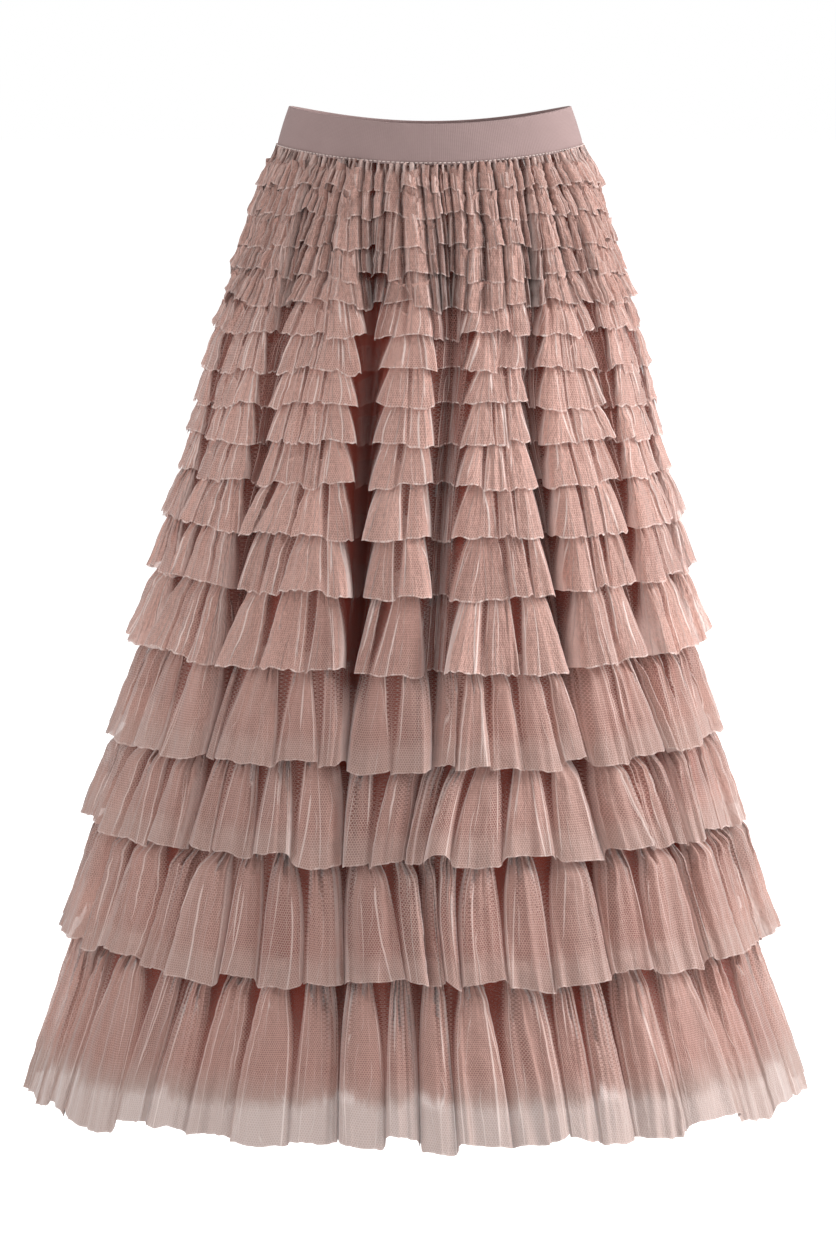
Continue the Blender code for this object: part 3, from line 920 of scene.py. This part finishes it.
def cloth_streaks_group():
    """Streaks that run down the cloth: noise stretched along the strip's depth, in two widths.

    Lines are thin bands at even steps along the strip, bent by slow noise and broken by the streaks.
    """
    made = ("Streak", "Crinkle", "Lines")
    given, put_out = new_group("cloth_streaks", {"Width": 0.004, "Length": 0.06}, made)
    cloth, width = given["Cloth"], given["Width"]
    scale = cloth.node("ShaderNodeCombineXYZ", {0: 1.0 / width, 1: 1.0 / given["Length"], 2: 1.0})
    place = cloth.vector("MULTIPLY", scale)
    streak = place.texture("Noise", Scale=1.0, Detail=2.0, Roughness=0.55)
    put_out("Streak", streak)
    close = cloth.vector("MULTIPLY", (420.0, 260.0, 1.0))
    put_out("Crinkle", close.texture("Noise", Scale=1.0, Detail=1.0))
    warp = place.vector("MULTIPLY", (0.30, 0.8, 1.0)).texture("Noise", Scale=1.0, Detail=1.0, Roughness=0.4)
    across = place.axis(0) * 0.80 + warp * 3.0
    from_middle = abs(across.maths("FRACT", across) - 0.5)
    thick = 0.00026 / width
    put_out("Lines", from_middle.ranged(thick * 0.3, thick, 1.0, 0.0) * streak.ranged(0.46, 0.58, 0.0, 1.0))


def new_material(name, **constants):
    """A material with its shader's constants, whose names have _ for a space.

    Gives the material, its tree and a function that links a result to the shader.
    """
    material = bpy.data.materials.new(name)
    material.use_nodes = True
    tree = material.node_tree
    shader = tree.nodes["Principled BSDF"]
    for label, value in constants.items():
        shader.inputs[label.replace("_", " ")].default_value = value
    return material, tree, lambda label, shade: tree.links.new(shade.socket, shader.inputs[label])


def cloth_place(tree):
    """The cloth map: the place on the flat cloth in metres, along the strip and up from its lower edge."""
    return Shade(add_node(tree, "ShaderNodeUVMap", uv_map="cloth").outputs[0])


def own_place(tree):
    """The place on the piece itself."""
    return Shade(add_node(tree, "ShaderNodeTexCoord").outputs["Object"])


def tulle_material(cloth, look):
    """Sheer net: threads and a veil between them, denser along creases, raw edges and gathers. Creases,
    edge-on sides, raw edges and single threads get a painted highlight, valleys get painted shade, and the
    lower tiers' hems get a darker painted shade colour.

    One layer leaves (1 - veil) (1 - threads) bare, and n layers leave that to the power n.
    """
    material, tree, feed = new_material(
        look.name, Roughness=0.75, Specular_IOR_Level=0.12, Sheen_Weight=0.70, Sheen_Roughness=0.5,
        Sheen_Tint=(1.0, 0.94, 0.93, 1.0),
    )
    place = cloth_place(tree)
    layers, crease, hollow, tone, *creases = (
        Shade(add_node(tree, "ShaderNodeAttribute", attribute_name=label).outputs["Fac"])
        for label in ("layers", "crease", "hollow", "tone") + CREASE_LABELS
    )
    net = placed_group(tree, "bobbin_net", place, Cell=cloth.net_cell, Thread=cloth.net_thread)
    net = net["Thread Mask"]
    streaks = placed_group(tree, "cloth_streaks", place, Width=look.streak, Length=0.07)
    streak, crinkle, fine = streaks["Streak"], streaks["Crinkle"], streaks["Lines"] * look.fine
    single = layers.maths("MINIMUM", layers, 1.0)

    crease = crease.larger(fine * single)
    for line in creases:
        crease = crease.larger(abs(line).ranged(0.25, 1.0, look.lines, 0.0) * single)
    above_hem = place.axis(1)
    raw = (above_hem + crinkle * 0.0016).ranged(0.0016, 0.0027, 1.0, 0.0)
    raw = raw * streak.ranged(0.42, 0.57, 0.10, 1.0) * single
    # Near the hem: denser net and a darker grey painted shade colour.
    low_edge = above_hem.ranged(0.53 * look.hem_reach, look.hem_reach, look.hem_shade, 0.0)

    veil = streak.ranged(0.30, 0.70, look.veil - 0.08 * look.crinkle, look.veil + 0.11 * look.crinkle)
    cover = 1.0 - ((1.0 - veil) * (1.0 - net * cloth.thread_cover)) ** layers
    denser = (crease * 0.75).larger(raw * 0.45).larger(low_edge)
    feed("Alpha", cover.maths("ADD", cover, denser * (1.0 - cover), clamp=True))

    # Random mottling times the painted light and shade of the tier.
    mottled = crinkle.ranged(0.30, 0.70, 1.0 - 0.18 * look.crinkle, 1.0 + 0.14 * look.crinkle) * tone
    threads = net * layers.ranged(1.0, 2.0, look.threads, 0.3 * look.threads)
    # Painted highlight: creases, edge-on sides, raw edges and single threads lightened towards a near-white colour.
    lightened = (crease * 0.9).larger(raw * look.raw).larger(threads)
    # Painted shade: valleys, grooves, hanging folds and the gaps under the band darkened towards a dark red.
    colour = mottled.tinted(cloth.tulle_colour).blended(hollow * 0.90, rgba(cloth.deep_colour, look.deep))
    # Painted shade: a darker grey near the hems of the lower tiers.
    colour = colour.blended(low_edge, rgba(cloth.hem_shade_colour))
    feed("Base Color", colour.blended(lightened, rgba(cloth.crease_highlight_colour)))
    feed("Normal", (streak + crinkle * 0.6 + fine).bump(look.crinkle, 0.0025))
    return material


def lining_material(cloth):
    """Opaque plain-woven lining with a faint thread relief, slow changes of tone and an uneven hem.
    Its colour is made darker and redder than the lining's own, as painted shade for the gaps between flutes.
    """
    material, tree, feed = new_material("lining_cloth", Roughness=0.62, Specular_IOR_Level=0.08)
    place = cloth_place(tree)
    streak = placed_group(tree, "cloth_streaks", place, Width=0.012, Length=0.20)["Streak"]
    feed("Base Color", streak.ranged(0.3, 0.7, 0.85, 1.12).tinted(cloth.lining_colour))
    feed("Alpha", (place.axis(1) + streak * -0.02).ranged(-0.011, 0.007, 0.0, 1.0, "SMOOTHSTEP"))
    warp, weft = (place.texture("Wave", 1, Scale=380.0, Along=way) for way in "XY")
    feed("Normal", (warp + weft).bump(0.15, 0.0003))
    return material


def elastic_material(cloth):
    """Matt knitted elastic: fine upright ribs crossed by rows of knit, with a little fuzz."""
    material, tree, feed = new_material(
        "knitted_elastic", Roughness=0.9, Specular_IOR_Level=0.05, Sheen_Weight=0.08
    )
    place = cloth_place(tree)
    ribs = place.texture("Wave", 1, Scale=200.0, Distortion=0.6, Along="X")
    rows = place.texture("Wave", 1, Scale=300.0, Distortion=0.4, Along="Y")
    fuzz, slow = (place.texture("Noise", Scale=scale, Detail=2.0) for scale in (900.0, 26.0))
    knit = (ribs + 0.6) * (rows + 0.7)
    tone = (knit + fuzz * 1.2).ranged(0.8, 3.2, 0.93, 1.06) * slow.ranged(0.3, 0.7, 0.96, 1.04)
    feed("Base Color", tone.tinted(cloth.band_colour))
    feed("Normal", (knit + fuzz * 0.5).bump(0.35, 0.0004))
    return material


def thread_material(cloth):
    """Sewing thread: twisted plies as a slanted wave."""
    material, tree, feed = new_material("sewing_thread", Roughness=0.6)
    twist = own_place(tree).texture("Wave", 1, Scale=900.0, Along="DIAGONAL")
    feed("Base Color", twist.ranged(0.0, 1.0, 0.88, 1.05).tinted(cloth.thread_colour))
    return material


def finish_piece(piece, node):
    """Attaches a sheet of cloth to the root, and hides the model's part that it replaces."""
    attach(piece, "root")
    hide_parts(node)


def colour_property(name, description, default):
    """A colour that a user can change."""
    return FloatVectorProperty(
        name=name, description=description, default=default, subtype="COLOR", size=3, min=0.0, max=1.0
    )


class SkirtCloth(bpy.types.PropertyGroup):
    """Sizes and colours of the skirt's cloth."""

    seed: IntProperty(name="Seed", description="Changes how the ruffles fall", default=3, min=0)
    fullness: FloatProperty(
        name="Flute fullness", description="How steep a flute's sides are", default=1.50, min=0.8, max=1.55
    )
    lean: FloatProperty(
        name="Lean", description="How far flutes lean to one side", default=0.5, min=0.0, max=0.6
    )
    net_cell: FloatProperty(
        name="Net cell", description="Width of one cell of the net",
        default=0.0022, min=0.0005, max=0.01, subtype="DISTANCE", precision=4,
    )
    net_thread: FloatProperty(
        name="Thread share", description="Thread width as a share of a cell", default=0.14, min=0.02, max=0.5
    )
    thread_cover: FloatProperty(
        name="Thread cover", description="How opaque a thread is", default=0.66, min=0.0, max=1.0
    )
    tulle_colour: colour_property("Tulle", "Colour of the net", (0.76, 0.443, 0.372))
    # Near-white painted highlight on creases, edge-on sides, raw edges, single threads and the gathers' tips.
    crease_highlight_colour: colour_property("Creases", "Colour where the net is dense", (0.96, 0.80, 0.75))
    # Dark red painted shade in valleys, grooves, hanging folds and between the gathers under the band.
    deep_colour: colour_property("Valleys", "Colour of the net between flutes", (0.33, 0.095, 0.065))
    # Darker grey painted shade near the hems of the lower tiers.
    hem_shade_colour: colour_property("Lowest hem", "Colour of the net below the lining", (0.39, 0.285, 0.25))
    # The lining's colour, made darker and redder as painted shade for the gaps between flutes.
    lining_colour: colour_property("Lining", "Colour of the lining", (0.27, 0.042, 0.026))
    band_colour: colour_property("Waistband", "Colour of the elastic", (0.40, 0.285, 0.275))
    thread_colour: colour_property("Thread", "Colour of the stitches", (0.78, 0.64, 0.60))


class SkirtStage(bpy.types.PropertyGroup):
    """The camera, lights and floor."""

    lens: FloatProperty(name="Lens", description="Focal length", default=120.0, min=20.0, unit="CAMERA")
    floor_level: FloatProperty(
        name="Floor", description="Height of the floor", default=-1.02, unit="LENGTH", subtype="DISTANCE"
    )
    key_power: FloatProperty(
        name="Key", description="Power of the key light", default=130.0, min=0.0, unit="POWER"
    )
    fill_power: FloatProperty(
        name="Fill", description="Power of the fill light and of the back light",
        default=38.0, min=0.0, unit="POWER",
    )
    sky: FloatProperty(
        name="Sky", description="Strength of the light from all round", default=0.50, min=0.0
    )


class SKIRT_OT_stage(bpy.types.Operator):
    """Add the camera, the soft lights, the white surround and the pale floor"""

    bl_idname = "skirt.stage"
    bl_label = "Stage"

    def execute(self, context):
        scene, stage = context.scene, context.scene.skirt_stage
        camera = bpy.data.cameras.new("camera")
        camera.lens, camera.sensor_width, camera.clip_end = stage.lens, 36.0, 60.0
        scene.camera = self.aimed(scene, "camera", camera, Vector(CAMERA_AT), Vector(CAMERA_AIM))
        aim = Vector(LIGHT_AIM)
        for name, power, size, azimuth, elevation in LIGHTS:
            light = bpy.data.lights.new(name, "AREA")
            light.energy, light.size = getattr(stage, power), size
            around, up = np.radians(azimuth), np.radians(elevation)
            way = Vector((np.sin(around) * np.cos(up), -np.cos(around) * np.cos(up), np.sin(up)))
            self.aimed(scene, name, light, aim + way * LIGHT_DISTANCE, aim)
        self.surround(scene, stage)
        self.floor(scene, stage)
        scene.view_settings.view_transform = "Standard"
        scene.view_settings.look = "None"
        return {"FINISHED"}

    def aimed(self, scene, name, data, place, aim):
        """A camera or a light that looks at a point."""
        item = bpy.data.objects.new(name, data)
        item.location = place
        item.rotation_euler = (aim - place).to_track_quat("-Z", "Y").to_euler()
        scene.collection.objects.link(item)
        return item

    def seen(self, tree):
        """1 where the camera looks, and 0 for the light that falls on the skirt."""
        return Shade(add_node(tree, "ShaderNodeLightPath").outputs["Is Camera Ray"])

    def surround(self, scene, stage):
        """White where the camera looks, and a weaker even light on the skirt."""
        world = bpy.data.worlds.new("surround")
        world.use_nodes = True
        tree = world.node_tree
        background = tree.nodes["Background"].inputs
        background["Color"].default_value = WHITE
        tree.links.new(self.seen(tree).ranged(0.0, 1.0, stage.sky, 1.0).socket, background["Strength"])
        scene.world = world

    def floor(self, scene, stage):
        """A wide pale floor that glows enough to join the surround."""
        material, tree, feed = new_material("pale_floor", Roughness=0.9, Emission_Color=WHITE)
        tone = own_place(tree).texture("Noise", Scale=4.0).ranged(0.3, 0.7, 0.80, 0.84)
        feed("Base Color", tone.node("ShaderNodeCombineColor", {0: tone, 1: tone, 2: tone}))
        feed("Emission Strength", self.seen(tree) * 0.75)
        ways = ((-1, -1), (1, -1), (1, 1), (-1, 1))
        mesh = bpy.data.meshes.new("floor")
        corners_at = [(x * FLOOR_HALF, y * FLOOR_HALF, stage.floor_level) for x, y in ways]
        mesh.from_pydata(corners_at, [], [(0, 1, 2, 3)])
        mesh.materials.append(material)
        floor = bpy.data.objects.new("floor", mesh)
        scene.collection.objects.link(floor)


class SKIRT_OT_effects(bpy.types.Operator):
    """Make the shader groups that the cloths share"""

    bl_idname = "skirt.effects"
    bl_label = "Cloth effects"

    def execute(self, context):
        bobbin_net_group()
        cloth_streaks_group()
        return {"FINISHED"}


class SKIRT_OT_waistband(bpy.types.Operator):
    """Add the elastic waistband"""

    bl_idname = "skirt.waistband"
    bl_label = "Waistband"

    def execute(self, context):
        points = self.surface()
        along, across = along_ring(points[2]), along_line(points[:, 0])
        material = elastic_material(context.scene.skirt_cloth)
        piece = ring_sheet(
            "waistband_elastic", points, along[None, :], across[:, None], {}, material, closed=True
        )
        finish_piece(piece, "waistband")
        return {"FINISHED"}

    def surface(self):
        """A flat tube's section carried round the waist: outer face, rounded top, inner face, bottom.

        The faces bulge as a sine of their height, the top is half a circle, flattened to 0.45 of its width,
        and the lower edge waves in and out.
        """
        angle = 2.0 * np.pi * np.arange(420) / 420
        face, over = np.linspace(0.0, 1.0, 9), np.linspace(0.0, np.pi, 7)[1:-1]
        flat, edge, one = np.zeros(9), np.zeros(5), np.ones(1)
        drop = np.concatenate([face[::-1], edge, face, one])[:, None]
        rounded = np.concatenate([flat, 0.45 * BAND_WALL * np.sin(over), flat, 0.0 * one])[:, None]
        inward = np.concatenate([flat, 0.5 - 0.5 * np.cos(over), flat + 1.0, 0.0 * one])[:, None] * BAND_WALL
        bulge = np.sin(np.pi * np.concatenate([face[::-1], edge, face, 0.0 * one]))[:, None] * BAND_BULGE
        half_width = BAND_TOP_HALF_WIDTH + (BAND_BOTTOM_HALF_WIDTH - BAND_TOP_HALF_WIDTH) * drop
        wave = BAND_WAVE * ring_noise(angle / (2.0 * np.pi), 34, 21) * smooth_step(0.5, 1.0, drop)
        level = BAND_TOP + (BAND_BOTTOM - BAND_TOP) * drop + rounded
        return waist_points(angle, level, half_width, bulge - inward + wave, BAND_BACK_RISE * (1.0 - drop))


class SKIRT_OT_stitches(bpy.types.Operator):
    """Add the row of stitches along the waistband's lower edge"""

    bl_idname = "skirt.stitches"
    bl_label = "Waist stitches"

    def execute(self, context):
        points, faces = self.surface()
        mesh = bpy.data.meshes.new("waist_stitches")
        mesh.from_pydata(points.reshape(-1, 3).tolist(), [], faces.reshape(-1, 4).tolist())
        piece = add_piece("waist_stitches", mesh, thread_material(context.scene.skirt_cloth))
        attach(piece, "root")
        return {"FINISHED"}

    def surface(self):
        """Short thread loops round the waist, each a bent spindle: its radius is r sin(pi t)^0.4."""
        long, sides = 7, 6
        t = np.linspace(0.0, 1.0, long)[None, :, None]
        middle = 360.0 * np.arange(STITCHES)[:, None, None] / STITCHES
        angle = np.radians(middle + (t - 0.5) * 360.0 / STITCHES * STITCH_REACH)
        spin = 2.0 * np.pi * np.arange(sides)[None, None, :] / sides
        thick = STITCH_RADIUS * np.maximum(np.sin(np.pi * t), 0.02) ** 0.4
        stand = 0.0004 + 0.0004 * np.sin(np.pi * t) + thick * np.cos(spin)
        level = BAND_BOTTOM + STITCH_ABOVE_EDGE + thick * np.sin(spin)
        points = waist_points(angle, level, BAND_BOTTOM_HALF_WIDTH, stand)
        near = np.arange(STITCHES * long * sides).reshape(STITCHES, long, sides)
        far = np.roll(near, -1, axis=2)
        return points, np.stack([near[:, :-1], far[:, :-1], far[:, 1:], near[:, 1:]], axis=-1)


class SKIRT_OT_lining(bpy.types.Operator):
    """Add the opaque lining"""

    bl_idname = "skirt.lining"
    bl_label = "Lining"

    def execute(self, context):
        points, down = self.surface()
        along = along_ring(points[-1])
        height = float(np.mean(np.linalg.norm(np.diff(points, axis=0), axis=2).sum(axis=0)))
        material = lining_material(context.scene.skirt_cloth)
        piece = ring_sheet("lining_skirt", points, along[None, :], (1.0 - down) * height, {}, material)
        wall = piece.modifiers.new("wall", "SOLIDIFY")
        wall.thickness, wall.offset = LINING_WALL, -1.0
        diagonals = points[1:, 1:] - points[:-1, :-1], points[1:, :-1] - points[:-1, 1:]
        area = float(np.linalg.norm(np.cross(*diagonals), axis=2).sum() / 2.0)
        flat = (float(along[-1]), height)
        area = min(area, flat[0] * flat[1])
        finish_piece(piece, "lining")
        return {"FINISHED"}

    def surface(self):
        """A sheet LINING_UNDER inside the skirt's form, with a low random relief that starts below the
        band."""
        count, rows = LINING_GRID
        turn = FOLDS[0][0] + 360.0 * np.arange(count)[None, :] / count
        down = np.linspace(0.0, 1.0, rows)[:, None]
        part = np.broadcast_to(turn, (rows, count)) / 360.0
        wrinkles = 0.0007 * cloth_noise(part, down * 14.0, 150, 31) * smooth_step(0.02, 0.2, down)
        levels = LINING_TOP + (LINING_HEM - LINING_TOP) * down
        return skirt_points(turn, levels, wrinkles - LINING_UNDER)[0], down


class SKIRT_OT_tiers(bpy.types.Operator):
    """Add the seventeen gathered tulle tiers"""

    bl_idname = "skirt.tiers"
    bl_label = "Tulle tiers"

    def execute(self, context):
        cloth = context.scene.skirt_cloth
        looks = [SimpleNamespace(**dict(zip(FINISH_COLUMNS, row))) for row in FINISHES]
        materials = {look.first: tulle_material(cloth, look) for look in looks}
        for index in range(len(TIERS)):
            material = materials[max(first for first in materials if first <= index)]
            self.tier(Tier(index, cloth), f"tier_{index + 1:02d}", material)
        return {"FINISHED"}

    def tier(self, tier, node, material):
        """One tier, with its cloth measured along the hem and, up from the raw edge, down its depth."""
        points = tier.points
        along = along_ring(points[-1])
        depth = np.linalg.norm(np.diff(points, axis=0), axis=2).mean(axis=1)
        from_hem = np.append(np.cumsum(depth[::-1])[::-1], 0.0)[:, None]
        piece = ring_sheet(f"tulle_{node}", points, along[None, :], from_hem, tier.point_values(), material)
        finish_piece(piece, node)


class SKIRT_PT_panel(bpy.types.Panel):
    """The skirt's steps and sizes"""

    bl_idname = "SKIRT_PT_panel"
    bl_label = "Tulle skirt"
    bl_space_type = "VIEW_3D"
    bl_region_type = "UI"
    bl_category = "Skirt"

    def draw(self, context):
        for operator in STEPS:
            self.layout.operator(operator.bl_idname)
        for group in (context.scene.skirt_cloth, context.scene.skirt_stage):
            for name in group.__annotations__:
                self.layout.prop(group, name)


STEPS = (
    SKIRT_OT_stage, SKIRT_OT_effects, SKIRT_OT_waistband, SKIRT_OT_stitches, SKIRT_OT_lining, SKIRT_OT_tiers,
)
CLASSES = (SkirtCloth, SkirtStage) + STEPS + (SKIRT_PT_panel,)


def register():
    for item in CLASSES:
        bpy.utils.register_class(item)
    bpy.types.Scene.skirt_cloth = PointerProperty(type=SkirtCloth)
    bpy.types.Scene.skirt_stage = PointerProperty(type=SkirtStage)


def unregister():
    del bpy.types.Scene.skirt_stage
    del bpy.types.Scene.skirt_cloth
    for item in reversed(CLASSES):
        bpy.utils.unregister_class(item)


def main():
    """Makes the whole skirt on its stage."""
    register()
    bpy.ops.skirt.stage()
    bpy.ops.skirt.effects()
    bpy.ops.skirt.waistband()
    bpy.ops.skirt.stitches()
    bpy.ops.skirt.lining()
    bpy.ops.skirt.tiers()


if __name__ == "__main__":
    main()
